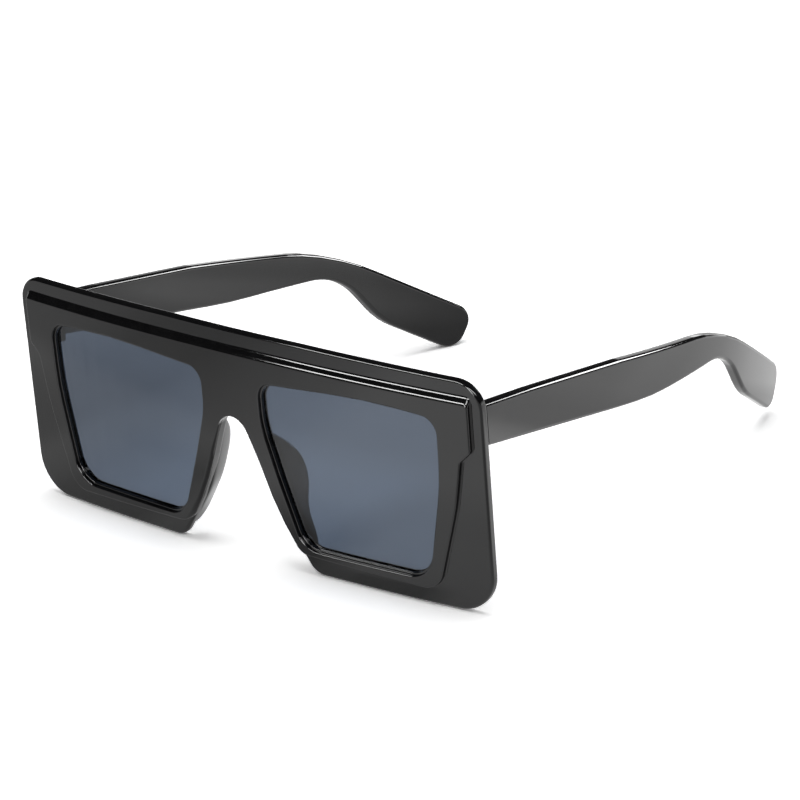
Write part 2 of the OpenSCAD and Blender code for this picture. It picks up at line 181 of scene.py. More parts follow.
class Draft:
    """A mesh on the bench, in millimetres, shaped in edit mode."""

    def __init__(self, name: str) -> None:
        """Takes the active object as the draft.

        Args:
            name: the object's new name.
        """
        self.obj = bpy.context.object
        self.obj.name = name
        self.obj.data.name = name

    # Starts

    @classmethod
    def outline(cls, name: str, corners: Sequence[Corner], lay: Lay) -> Draft:
        """Lays a filled circle's points on the corners of an outline and rounds each corner.

        Args:
            name: name of the new object.
            corners: corners of the outline in order.
            lay: puts a flat point into the bench's space.

        Returns:
            The draft, one flat face.
        """
        bpy.ops.object.select_all(action="DESELECT")
        bpy.ops.mesh.primitive_circle_add(vertices=len(corners), radius=1.0, fill_type="NGON")
        draft = cls(name)
        for vertex, c in zip(draft.obj.data.vertices, corners):
            vertex.co = lay(c.u, c.v)
        for i, c in enumerate(corners):
            if c.r > 0:
                draft.round_corner(corners[i - 1], c, corners[(i + 1) % len(corners)], lay)
        return draft

    def round_corner(self, before: Corner, c: Corner, after: Corner, lay: Lay) -> None:
        """Bevels the vertex at one corner into an arc that touches both its sides.

        Args:
            before: the corner before it.
            c: the corner that is rounded.
            after: the corner after it.
            lay: puts a flat point into the bench's space.
        """
        a = Vector((before.u - c.u, before.v - c.v)).normalized()
        b = Vector((after.u - c.u, after.v - c.v)).normalized()
        half = math.acos(max(-1.0, min(1.0, a.dot(b)))) / 2
        sweep = math.pi - 2 * half
        flat = math.cos(sweep / 2)
        spot = lay(c.u, c.v)
        self.bevel(
            Element.VERT,
            lambda v: (v.co - spot).length < SAME_PLACE,
            c.r / math.tan(half),
            max(2, math.ceil(math.degrees(sweep) / DEGREES_PER_STEP)),
            (0.5 + 0.5 * flat / (1 + flat)) ** 2,
        )

    @classmethod
    def block(cls, name: str, low: Vector, high: Vector) -> Draft:
        """Adds a box.

        Args:
            name: name of the new object.
            low: its corner with the least x, y and z.
            high: the corner opposite.

        Returns:
            The draft.
        """
        bpy.ops.object.select_all(action="DESELECT")
        bpy.ops.mesh.primitive_cube_add(size=1.0, location=(low + high) / 2, scale=high - low)
        draft = cls(name)
        draft.settle()
        return draft

    @classmethod
    def rod(cls, name: str, foot: Vector, top: Vector, radius: float, sides: int = 48) -> Draft:
        """Adds a cylinder.

        Args:
            name: name of the new object.
            foot: middle of one end.
            top: middle of the other end.
            radius: the rod's radius.
            sides: how many faces go round.

        Returns:
            The draft.
        """
        axis = top - foot
        bpy.ops.object.select_all(action="DESELECT")
        bpy.ops.mesh.primitive_cylinder_add(
            vertices=sides, radius=radius, depth=axis.length, location=(foot + top) / 2,
            rotation=Vector((0, 0, 1)).rotation_difference(axis).to_euler(),
        )
        draft = cls(name)
        draft.settle()
        return draft

    def outward_lines(self) -> dict[tuple[float, float], tuple[float, float]]:
        """Finds how each point of a flat outline moves when the outline grows by one.

        Returns:
            The move for each point, both as x and z.
        """
        face = self.obj.data.polygons[0]
        ring = [self.obj.data.vertices[i].co for i in face.vertices]
        sense = math.copysign(1.0, sum(a.x * b.z - b.x * a.z for a, b in zip(ring, ring[1:] + ring[:1])))
        found = {}
        for i, p in enumerate(ring):
            a = (p - ring[i - 1]).normalized()
            b = (ring[(i + 1) % len(ring)] - p).normalized()
            out = Vector((a.z + b.z, 0.0, -a.x - b.x)).normalized() * sense
            reach = 1 / abs(out.x * a.z - out.z * a.x)
            found[round(p.x, 3), round(p.z, 3)] = (out.x * reach, out.z * reach)
        return found

    # Edit mode

    def focus(self) -> None:
        """Makes the draft the only selected object and the active one."""
        bpy.ops.object.select_all(action="DESELECT")
        self.obj.select_set(True)
        bpy.context.view_layer.objects.active = self.obj

    def settle(self) -> None:
        """Applies the object's place, so that its place is in its mesh."""
        self.focus()
        bpy.ops.object.transform_apply(location=True, rotation=True, scale=True)

    def pick(self, kind: Element, test: Test) -> None:
        """Enters edit mode and selects the elements that pass a test.

        Args:
            kind: vertices, edges or faces.
            test: takes one element and says whether it is wanted.
        """
        self.focus()
        bpy.ops.object.mode_set(mode="EDIT")
        bpy.ops.mesh.select_mode(type=kind.value)
        bpy.ops.mesh.select_all(action="DESELECT")
        mesh = bmesh.from_edit_mesh(self.obj.data)
        for element in {"VERT": mesh.verts, "EDGE": mesh.edges, "FACE": mesh.faces}[kind.value]:
            if test(element):
                element.select_set(True)
        mesh.select_flush_mode()
        bmesh.update_edit_mesh(self.obj.data)

    def leave(self) -> Draft:
        """Goes back to object mode."""
        bpy.ops.object.mode_set(mode="OBJECT")
        return self

    def bevel(self, kind: Element, test: Test, size: float, steps: int, profile: float = 0.5) -> Draft:
        """Rounds vertices or edges.

        Args:
            kind: vertices or edges.
            test: says which of them.
            size: how far the round reaches, along a vertex's edges or across an edge's faces.
            steps: how many segments it has.
            profile: its form, 0.5 for a circle on a square edge.

        Returns:
            The draft.
        """
        corners = kind is Element.VERT
        self.pick(kind, test)
        bpy.ops.mesh.bevel(
            offset_type="ABSOLUTE" if corners else "OFFSET", offset=size, segments=steps,
            profile=profile, affect="VERTICES" if corners else "EDGES", clamp_overlap=False,
        )
        return self.leave()

    def extrude(self, test: Test, by: Vector) -> Draft:
        """Draws faces out.

        Args:
            test: says which of them.
            by: the way that they go.

        Returns:
            The draft.
        """
        self.pick(Element.FACE, test)
        bpy.ops.mesh.extrude_region_move(TRANSFORM_OT_translate={"value": by})
        return self.leave()

    def inset(self, test: Test, steps: Iterable[tuple[float, float]]) -> Draft:
        """Insets a cap again and again.

        Args:
            test: picks the cap.
            steps: a thickness and a depth for each inset.

        Returns:
            The draft.
        """
        self.pick(Element.FACE, test)
        for thickness, depth in steps:
            bpy.ops.mesh.inset(thickness=thickness, depth=depth, use_even_offset=True, use_boundary=True)
        return self.leave()

    def slice(self, normal: Vector, places: Iterable[float]) -> Draft:
        """Cuts the mesh across by planes, so that it can bend there.

        Args:
            normal: the planes' normal.
            places: how far from the origin each plane lies.

        Returns:
            The draft.
        """
        self.pick(Element.FACE, lambda f: True)
        for place in places:
            bpy.ops.mesh.select_all(action="SELECT")
            bpy.ops.mesh.bisect(plane_co=normal * place, plane_no=normal)
        return self.leave()

    def face_outward(self) -> Draft:
        """Merges doubles and turns every face outward.

        Returns:
            The draft.
        """
        self.pick(Element.FACE, lambda f: True)
        bpy.ops.mesh.remove_doubles(threshold=SAME_PLACE)
        bpy.ops.mesh.normals_make_consistent(inside=False)
        return self.leave()

    # Whole mesh

    def modify(self, kind: str, **settings: object) -> Draft:
        """Adds a modifier and applies it.

        Args:
            kind: the modifier's type.
            **settings: its own properties.

        Returns:
            The draft.
        """
        self.focus()
        bpy.ops.object.modifier_add(type=kind)
        modifier = self.obj.modifiers[-1]
        for name, value in settings.items():
            setattr(modifier, name, value)
        bpy.ops.object.modifier_apply(modifier=modifier.name)
        return self

    def carve(self, operation: str, *others: Draft) -> Draft:
        """Joins or cuts with other drafts, which are used up.

        Args:
            operation: UNION or DIFFERENCE.
            *others: the other drafts.

        Returns:
            The draft.
        """
        for other in others:
            self.modify("BOOLEAN", operation=operation, solver="EXACT", object=other.obj)
            bpy.data.meshes.remove(other.obj.data)
        return self

    def mapped(self, place: Place) -> Draft:
        """Moves every point of the mesh.

        Args:
            place: takes a point to its new place.

        Returns:
            The draft.
        """
        for vertex in self.obj.data.vertices:
            vertex.co = place(vertex.co)
        self.obj.data.update()
        return self

    def mirrored(self, side: Side) -> Draft:
        """Puts a piece drawn for the wearer's left on its own side."""
        return self.mapped(lambda p: across(p, side)).face_outward()

    def refine(self, levels: int) -> Draft:
        """Subdivides the mesh into a smooth one."""
        return self.modify("SUBSURF", levels=levels)

    def smooth(self, angle: float = 32.0, weight: int = 50) -> Draft:
        """Shades the mesh smooth but for its sharp edges.

        Args:
            angle: degrees past which an edge is sharp.
            weight: how much the wide faces lead, where 50 is plain area.

        Returns:
            The draft.
        """
        self.focus()
        bpy.ops.object.shade_smooth_by_angle(angle=math.radians(angle))
        return self.modify("WEIGHTED_NORMAL", keep_sharp=True, weight=weight)


# The resting glasses


@dataclass(frozen=True)
class Stance:
    """How the open glasses rest: the front's bow and lean, and where its frame lies in the row."""

    bow_r: float = 667.0
    lean: float = 3.52033
    middle_y: float = 74.6435
    lift: float = -0.0297854

    def bow(self, x: float) -> float:
        """How far the bowed front lies back at a distance from its middle."""
        return self.bow_r - math.sqrt(self.bow_r**2 - x * x)

    def set_down(self, p: Vector) -> Vector:
        """Takes a point of the front's frame to the row frame, in metres."""
        y, z = turned(p.y, p.z, self.lean)
        return Vector((p.x, y - self.middle_y, z + self.lift)) * MM

    def bowed(self, p: Vector) -> Vector:
        """Takes a point of the flat front to the row frame."""
        return self.set_down(Vector((p.x, p.y + self.bow(p.x), p.z)))


STANCE = Stance()


def across(p: Vector, side: Side) -> Vector:
    """Mirrors a point onto the wearer's right where that is asked."""
    return Vector((p.x * side.value, p.y, p.z))


@dataclass(frozen=True)
class Hinge:
    """The hinge of one side, as the CAD places it in the front's frame."""

    pin_x: float = 66.6
    pin_y: float = 8.93334
    middle_z: float = 46.9
    butt_y: float = 8.53334
    leaf_t: float = 0.9
    knuckle_r: float = 1.3
    knuckle_h: float = 1.5
    knuckle_play: float = 0.08
    knuckles: int = 5
    front_leaf_w: float = 3.9
    temple_leaf_l: float = 9.5
    room: float = 0.25
    head_h: float = 0.6
    play: float = 0.02
    over: float = 1.0

    @property
    def pitch(self) -> float:
        """Distance from one knuckle to the next."""
        return self.knuckle_h + self.knuckle_play

    def stack_h(self, knuckles: int) -> float:
        """Height of a number of knuckles together."""
        return knuckles * self.pitch - self.knuckle_play

    def at_pin(self, z: float) -> Vector:
        """A point on the pin's axis, at a height over the hinge's middle."""
        return Vector((self.pin_x, self.pin_y, self.middle_z + z))

    def room_cutter(self) -> Draft:
        """Makes the round room for the knuckles and the screw's head."""
        reach = self.stack_h(self.knuckles) / 2 + self.head_h + self.room
        return Draft.rod("room", self.at_pin(-reach), self.at_pin(reach), self.knuckle_r + self.room)

    def front_pocket(self) -> Draft:
        """Makes the pocket for the front leaf in the end piece.

        Returns:
            The pocket as a block.
        """
        half = self.stack_h(self.knuckles) / 2 + self.play
        left, front = self.pin_x - self.front_leaf_w - self.play, self.butt_y - self.leaf_t - self.play
        return Draft.block(
            "pocket",
            Vector((left, front, self.middle_z - half)),
            Vector((self.pin_x, self.butt_y + self.over, self.middle_z + half)),
        )

    def temple_pocket(self, inner_x: float) -> Draft:
        """Makes the pocket for the temple leaf in the temple's inner face.

        Args:
            inner_x: where that face lies.

        Returns:
            The pocket as a block.
        """
        half = self.stack_h(self.knuckles - 2) / 2 + self.play
        right, back = inner_x + self.leaf_t + self.play, self.pin_y + self.temple_leaf_l + self.play
        return Draft.block(
            "pocket",
            Vector((inner_x - self.over, self.pin_y, self.middle_z - half)),
            Vector((right, back, self.middle_z + half)),
        )


HINGE = Hinge()


@dataclass(frozen=True)
class Butt:
    """Where a temple's root meets its end piece, with sizes that both of them take."""

    x: float = 70.4
    above: float = 4.85
    below: float = 5.6
    rim: float = 0.15
    drop: float = 12.3
    left_lift: float = 1.4

    def angle(self, side: Side) -> float:
        """Degrees by which a side's temple runs down from square to the front."""
        return self.drop - (self.left_lift if side is Side.LEFT else 0.0)


BUTT = Butt()


@dataclass(frozen=True)
class Outlines:
    """The front's flat outlines, on the CAD's own sizes."""

    half_w: float = 72.5
    front_h: float = 59.7
    crown: float = 1.0
    crown_r: float = 1500.0
    top_corner_r: float = 7.0
    low_corner_r: float = 10.0
    lobe_corner_r: float = 5.0
    arch_h: float = 37.4
    arch_r: float = 4.8
    nose_slope: float = 19.0
    nose_bend_z: float = 15.0
    nose_bend_r: float = 80.0
    nose_foot_x: float = 21.0
    opening_in: float = 9.0
    opening_low: float = 6.5
    opening_w: float = 51.8
    opening_h: float = 43.7
    opening_shares: tuple[tuple[float, float, float], ...] = (
        (0.600, 1.000, 3.40), (1.000, 0.966, 0.115), (0.996, 0.585, 1.40), (0.909, 0.004, 0.172),
        (0.193, 0.002, 0.160), (0.075, 0.410, 1.40), (0.000, 0.700, 0.57), (0.000, 0.950, 0.103),
    )

    def nose_x(self, z: float) -> float:
        """Finds how far from the middle the nose edge is.

        Args:
            z: height at which it is asked.

        Returns:
            The distance.
        """
        upper = math.tan(math.radians(self.nose_slope))
        bend_x = (self.arch().v - self.nose_bend_z) * upper
        if z > self.nose_bend_z:
            return bend_x - (z - self.nose_bend_z) * upper
        return bend_x + (self.nose_foot_x - bend_x) * (1 - z / self.nose_bend_z)

    def nose_bend(self, outward: float = 0.0) -> Corner:
        """The corner where the nose edge starts to spread."""
        return Corner(self.nose_x(self.nose_bend_z) + outward, self.nose_bend_z, self.nose_bend_r)

    def arch(self, seam: float = 0.0) -> Corner:
        """Finds the corner that the arch of the nose rounds.

        Args:
            seam: how far its lines are moved into the gap.

        Returns:
            The corner.
        """
        steep = math.sin(math.radians(self.nose_slope))
        top = self.arch_h + self.arch_r / steep - self.arch_r
        return Corner(0.0, top - seam / steep, self.arch_r - seam)

    @staticmethod
    def whole(half: Sequence[Corner]) -> list[Corner]:
        """Adds the mirror image to a half outline, and runs it anticlockwise."""
        mirrored = [Corner(-c.u, c.v, c.r) for c in half[1:-1]]
        return [half[0], *mirrored, half[-1], *reversed(half[1:-1])]

    def plate(self) -> list[Corner]:
        """Lists the corners of the outer plate.

        Returns:
            The corners, anticlockwise.
        """
        return self.whole([
            Corner(0.0, self.front_h, self.crown_r),
            Corner(self.half_w, self.front_h - self.crown, self.top_corner_r),
            Corner(self.half_w, 0.0, self.low_corner_r),
            Corner(self.nose_foot_x, 0.0, self.lobe_corner_r),
            self.nose_bend(),
            self.arch(),
        ])

    def opening(self) -> list[Corner]:
        """Lists the corners of the left lens opening, at the front of its rebate.

        Returns:
            The corners, anticlockwise.
        """
        low, height = self.opening_low, self.opening_h
        return [
            Corner(self.opening_in + u * self.opening_w, low + v * height, r * height)
            for u, v, r in reversed(self.opening_shares)
        ]


OUTLINES = Outlines()


# Pieces


@dataclass(frozen=True)
class Ring:
    """One ring of the panel's wall.

    Its depth is how far it stands in front of the plate's face and its reach how far it spreads at
    the foot. A ring of the rim has its turn in the round instead.
    """

    depth: float
    reach: float = 0.0
    turn: float | None = None


@dataclass(frozen=True)
class Front:
    """The moulded front: a bowed plate, the panel raised on it, and an end piece behind each side."""

    plate_t: float = 2.2
    panel_t: float = 1.3
    plate_rim: float = 0.75
    back_rim: float = 0.6
    panel_rim: float = 0.42
    foot_round: float = 0.4
    top_rise: float = 1.4
    panel_top_r: float = 1.2
    top_zone: float = 3.0
    nose_rim: float = 1.25
    nose_blend: float = 1.5
    opening_rim: float = 0.35
    step_rim: float = 0.2
    rebate_w: float = 0.55
    rebate_d: float = 0.7
    lens_bite: float = 0.75
    lens_play: float = 0.04
    panel_top: float = 54.1
    panel_x: float = 69.5
    panel_corner_r: float = 1.6
    panel_side_len: float = 12.0
    jog_w: float = 3.0
    jog_h: float = 2.9
    waist_shares: tuple[float, float] = (0.23, 0.34)
    waist_r: float = 60.0
    foot_x: float = 58.3
    foot_z: float = 4.2
    foot_r: float = 6.0
    nose_foot_z: float = 5.2
    sunk: float = 1.0
    seam: float = 0.02
    strip: float = 5.0
    end_piece_w: float = 8.2
    end_piece_sunk_share: float = 0.25
    end_rim: float = 0.7
    long_edge: float = 1.0

    def panel_corners(self) -> list[Corner]:
        """Finds the line where the panel's wall meets the plate.

        Returns:
            Its corners, from the top middle round to the arch.
        """
        o = OUTLINES
        corner_z = self.panel_top - o.crown * self.panel_x / o.half_w / 2
        jog_z = corner_z - self.panel_side_len
        low_x, low_z = self.panel_x - self.jog_w, jog_z - self.jog_h
        waist_x = low_x - self.waist_shares[0] * (low_x - self.foot_x)
        waist_z = low_z - self.waist_shares[1] * (low_z - self.foot_z)
        return [
            Corner(0.0, self.panel_top + self.top_rise, o.crown_r),
            Corner(self.panel_x, corner_z + self.top_rise, self.panel_top_r),
            Corner(self.panel_x, jog_z, self.panel_corner_r),
            Corner(low_x, low_z, self.panel_corner_r),
            Corner(waist_x, waist_z, self.waist_r),
            Corner(self.foot_x, self.foot_z, self.foot_r),
            Corner(o.nose_x(self.nose_foot_z), self.nose_foot_z, self.foot_r),
            o.nose_bend(self.seam),
            o.arch(self.seam),
        ]

    def plate(self) -> Draft:
        """Makes the outer plate.

        Returns:
            The plate, rounded round its face and its back.
        """
        draft = Draft.outline("front_frame.shell", OUTLINES.plate(), on_face(0.0))
        draft.extrude(at_depth(0.0), Vector((0, self.plate_t, 0))).face_outward()
        draft.bevel(Element.EDGE, at_depth(0.0), self.plate_rim, FINE_ROUND)
        return draft.bevel(Element.EDGE, at_depth(self.plate_t), self.back_rim, PLAIN_ROUND)

    def rings(self) -> list[Ring]:
        """Lists the rings of the panel's wall.

        Returns:
            The rings, from the plate's face out.
        """
        turns = [math.pi / 2 * i / FINE_ROUND for i in range(FINE_ROUND + 1)]
        hollow, rim = self.foot_round, self.panel_rim
        foot = [Ring(hollow * (1 - math.cos(a)) - HAIR, hollow * (1 - math.sin(a))) for a in turns]
        return foot + [Ring(self.panel_t - rim * (1 - math.sin(a)), turn=a) for a in turns]

    def spread(self, p: Vector, ring: Ring, outward: tuple[float, float]) -> Vector:
        """Moves a point of the straight panel to its place on the leaning and rounded wall.

        Args:
            p: the point.
            ring: the ring that it lies on.
            outward: the move that takes it out by one, as x and z.

        Returns:
            The point's new place.
        """
        free = min(1.0, max(0.0, (abs(p.x) - OUTLINES.nose_x(p.z)) / self.nose_blend))
        y, reach = p.y, ring.reach * free
        if ring.turn is not None:
            # On the nose edge itself the round goes back and not in.
            radius = self.nose_rim + (self.panel_rim - self.nose_rim) * free
            y = radius * (1 - math.sin(ring.turn)) - self.panel_t
            reach = -radius * (1 - math.cos(ring.turn)) * min(1.0, free / TRACE)
        lean = self.top_rise * max(0.0, ring.depth) / self.panel_t
        down = lean if p.z > self.panel_top - self.top_zone else 0.0
        return Vector((p.x + outward[0] * reach, y, p.z + outward[1] * reach - down))

    def panel(self) -> Draft:
        """Makes the raised panel.

        Returns:
            The panel, with a hollow at its foot, a wall that leans in at the top and a fine rim.
        """
        draft = Draft.outline("panel", OUTLINES.whole(self.panel_corners()), on_face(self.sunk))
        outward = draft.outward_lines()
        rings = self.rings()
        below = self.sunk
        for ring in rings:
            draft.extrude(at_depth(below), Vector((0, -ring.depth - below, 0)))
            below = -ring.depth

        def spread(p: Vector) -> Vector:
            """Moves one point by the ring that it lies on."""
            ring = min(rings, key=lambda each: abs(each.depth + p.y))
            return self.spread(p, ring, outward[round(p.x, 3), round(p.z, 3)])

        return draft.mapped(spread).face_outward()

    def mouth(self) -> Draft:
        """Makes the tool that cuts an opening from the front.

        Returns:
            The tool: rounded rim, rebate, rounded step and wall.
        """
        face = -self.panel_t - HAIR
        start = face - TOOL_REACH
        draft = Draft.outline("mouth", grown(OUTLINES.opening(), self.opening_rim), on_face(start))
        draft.extrude(at_depth(start), Vector((0, TOOL_REACH, 0))).face_outward()
        floor_y = self.rebate_d - self.panel_t
        ledge = self.rebate_w - self.step_rim
        deep = [(0.0, floor_y - (face + self.opening_rim)), (ledge, 0.0)]
        wall = [(0.0, LENS_MIDDLE - floor_y - self.step_rim)]
        steps = quarter(self.opening_rim, RIM_ROUND) + deep + quarter(self.step_rim, PLAIN_ROUND) + wall
        return draft.inset(at_depth(face), steps)

    def back_mouth(self) -> Draft:
        """Makes the tool that cuts an opening from the back.

        Returns:
            The tool, with a rounded rim.
        """
        back = self.plate_t + HAIR
        start = back + TOOL_REACH
        wide = grown(OUTLINES.opening(), self.opening_rim - self.rebate_w)
        draft = Draft.outline("back_mouth", wide, on_face(start))
        draft.extrude(at_depth(start), Vector((0, -TOOL_REACH, 0))).face_outward()
        wall = [(0.0, back - self.opening_rim - LENS_MIDDLE)]
        return draft.inset(at_depth(back), quarter(self.opening_rim, RIM_ROUND) + wall)

    def groove(self) -> Draft:
        """Makes the tool that cuts the groove of a lens.

        Returns:
            The tool, wider than the opening and as thick as the lens with its play.
        """
        low, high = LENS_FACE - self.lens_play, LENS_BACK + self.lens_play
        wide = grown(OUTLINES.opening(), self.lens_bite - self.rebate_w + self.lens_play)
        draft = Draft.outline("groove", wide, on_face(low))
        return draft.extrude(at_depth(low), Vector((0, high - low, 0))).face_outward()

    def end_piece(self, side: Side) -> Draft:
        """Makes the block behind an upper corner that carries the hinge.

        Args:
            side: the side on which it stands.

        Returns:
            The block, rounded along its length.
        """
        up = 1 / math.cos(math.radians(BUTT.angle(side)))
        start = STANCE.bow(BUTT.x) + self.plate_t * self.end_piece_sunk_share
        low = Vector((BUTT.x - self.end_piece_w, start, HINGE.middle_z - BUTT.below * up))
        high = Vector((BUTT.x, HINGE.butt_y, HINGE.middle_z + BUTT.above * up))
        draft = Draft.block("end_piece", low, high)

        def along(e: bmesh.types.BMEdge) -> bool:
            """Picks the edges that run back."""
            return abs(e.verts[0].co.y - e.verts[1].co.y) > self.long_edge

        draft.bevel(Element.EDGE, along, self.end_rim, RIM_ROUND)
        draft.bevel(Element.EDGE, at_depth(HINGE.butt_y), BUTT.rim, SLIGHT_ROUND)
        return draft.mirrored(side)

    def make(self) -> bpy.types.Object:
        """Builds the whole front.

        Returns:
            The finished object, which stands for the CAD's front frame.
        """
        shell = self.plate().carve("UNION", self.panel())
        for side in Side:
            for cutter in (self.mouth(), self.back_mouth(), self.groove()):
                shell.carve("DIFFERENCE", cutter.mirrored(side))
        edge = OUTLINES.half_w
        shell.slice(Vector((1, 0, 0)), spaced(-edge, edge, self.strip))
        shell.mapped(lambda p: Vector((p.x, p.y + STANCE.bow(p.x), p.z)))
        for side in Side:
            shell.carve("UNION", self.end_piece(side))
            for cutter in (HINGE.front_pocket(), HINGE.room_cutter()):
                shell.carve("DIFFERENCE", cutter.mirrored(side))
        shell.mapped(STANCE.set_down).smooth()
        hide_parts("front_frame")
        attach(shell.obj, "front")
        return shell.obj


@dataclass(frozen=True)
class Lens:
    """One tinted lens, held in the groove of its opening."""

    side: Side
    grow: float = 0.2
    edge: float = 0.12
    strip: float = 2.0
    before: float = 1.0

    def make(self) -> bpy.types.Object:
        """Builds the lens.

        Returns:
            The finished object, in place of the CAD's.
        """
        wide = grown(OUTLINES.opening(), self.grow)
        draft = Draft.outline(f"lens_{self.side.word}.tinted", wide, on_face(LENS_FACE))
        draft.extrude(at_depth(LENS_FACE), Vector((0, LENS_BACK - LENS_FACE, 0))).face_outward()

        def at_edges(e: bmesh.types.BMEdge) -> bool:
            """Picks the edges round the lens's face and its back."""
            return at_depth(LENS_FACE)(e) or at_depth(LENS_BACK)(e)

        draft.bevel(Element.EDGE, at_edges, self.edge, SLIGHT_ROUND)
        start = OUTLINES.opening_in - self.before
        draft.slice(Vector((1, 0, 0)), spaced(start, OUTLINES.half_w, self.strip))
        draft.mapped(lambda p: STANCE.bowed(across(p, self.side))).face_outward().smooth()
        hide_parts(f"lens_{self.side.word}")
        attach(draft.obj, "front")
        return draft.obj


@dataclass(frozen=True)
class Temple:
    """One temple: a deep arm that curves in, bends over the ear and ends in a squared tip."""

    side: Side
    thickness: float = 3.4
    bend_at: float = 104.1
    bend_above: float = 4.9
    crest: float = 2.1
    crest_r: float = 900.0
    bend_r: float = 100.0
    waist_at: float = 68.0
    waist_below: float = 5.7
    waist_r: float = 150.0
    neck_at: float = 107.3
    neck_below: float = 1.8
    neck_r: float = 22.0
    hook_angle: float = 22.5
    tip_len: float = 53.19
    tip_w: float = 12.3
    tip_r: float = 5.0
    heel_len: float = 27.4
    heel_r: float = 28.0
    curve_at: float = 48.0
    curve_r: float = 313.0
    butt_play: float = 0.1
    rim: float = 1.0
    strip: float = 3.0
    strips: tuple[float, float] = (5.0, 160.0)
    root_near: float = 1e-3

    @property
    def angle(self) -> float:
        """Degrees by which this temple runs down from square to the front."""
        return BUTT.angle(self.side)

    @property
    def slope(self) -> float:
        """How far the root's end leans per unit of height."""
        return math.tan(math.radians(self.angle))

    def corners(self) -> list[Corner]:
        """Finds the side outline.

        Returns:
            Its corners, along the centre line and up from it.
        """
        along = Vector(turned(1, 0, -self.hook_angle))
        up = Vector(turned(0, 1, -self.hook_angle))
        bend = Vector((self.bend_at, self.bend_above))
        tip_top = bend + self.tip_len * along
        tip_low = tip_top - self.tip_w * up
        heel = tip_low - self.heel_len * along
        return [
            Corner(-BUTT.above * self.slope, BUTT.above),
            Corner(self.bend_at / 2, (BUTT.above + self.bend_above) / 2 + self.crest, self.crest_r),
            Corner(bend.x, bend.y, self.bend_r),
            Corner(tip_top.x, tip_top.y, self.tip_r),
            Corner(tip_low.x, tip_low.y, self.tip_r),
            Corner(heel.x, heel.y, self.heel_r),
            Corner(self.neck_at, -self.neck_below, self.neck_r),
            Corner(self.waist_at, -self.waist_below, self.waist_r),
            Corner(BUTT.below * self.slope, -BUTT.below),
        ]

    def curved(self, p: Vector) -> Vector:
        """Curves a straight temple inward.

        Args:
            p: a point of the straight temple.

        Returns:
            The point on the curve, which starts a way behind the root.
        """
        past = max(0.0, p.y - self.curve_at)
        shell = self.curve_r - (BUTT.x - p.x)
        return Vector((BUTT.x - self.curve_r + math.sqrt(shell**2 - past**2), p.y, p.z))

    def hung(self, p: Vector) -> Vector:
        """Turns the temple down and puts its root against the end piece."""
        y, z = turned(p.y, p.z, -self.angle)
        return Vector((p.x, y + HINGE.butt_y + self.butt_play, z + HINGE.middle_z))

    def at_root(self, e: bmesh.types.BMEdge) -> bool:
        """Picks the edges of the root's end."""
        return all(abs(v.co.y + v.co.z * self.slope) < self.root_near for v in e.verts)

    def along_side(self, e: bmesh.types.BMEdge) -> bool:
        """Picks the edges that run round a side, but for those at the root."""
        return abs(e.verts[0].co.x - e.verts[1].co.x) < SAME_PLACE and not self.at_root(e)

    def make(self) -> bpy.types.Object:
        """Builds the temple.

        Returns:
            The finished object, in place of the CAD's.
        """
        name = f"temple_{self.side.word}.arm"
        draft = Draft.outline(name, self.corners(), lambda u, v: Vector((BUTT.x, u, v)))
        draft.extrude(lambda f: True, Vector((-self.thickness, 0, 0))).face_outward()
        draft.bevel(Element.EDGE, self.along_side, self.rim, FINE_ROUND)
        draft.bevel(Element.EDGE, self.at_root, BUTT.rim, SLIGHT_ROUND)
        draft.slice(Vector((0, 1, 0)), spaced(*self.strips, self.strip))
        draft.mapped(lambda p: self.hung(self.curved(p)))
        pocket = HINGE.temple_pocket(BUTT.x - self.thickness)
        draft.carve("DIFFERENCE", pocket, HINGE.room_cutter())
        draft.mapped(lambda p: STANCE.set_down(across(p, self.side))).face_outward().smooth()
        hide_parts(f"temple_{self.side.word}")
        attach(draft.obj, f"{self.side.word}_arm")
        return draft.obj


@dataclass(frozen=True)
class CagePoint:
    """A point of a pad's cage, placed by shares of a level's measures.

    Across from the nose edge: shares of the flare, of the swell and of the foot's thickness, and a
    length. Back from the front's face: shares of the tip's depth and radius, a length, and a limit.
    """

    flare: float = 0.0
    swell: float = 0.0
    base: float = 0.0
    out: float = 0.0
    depth: float = 0.0
    r: float = 0.0
    back: float = 0.0
    most: float = math.inf


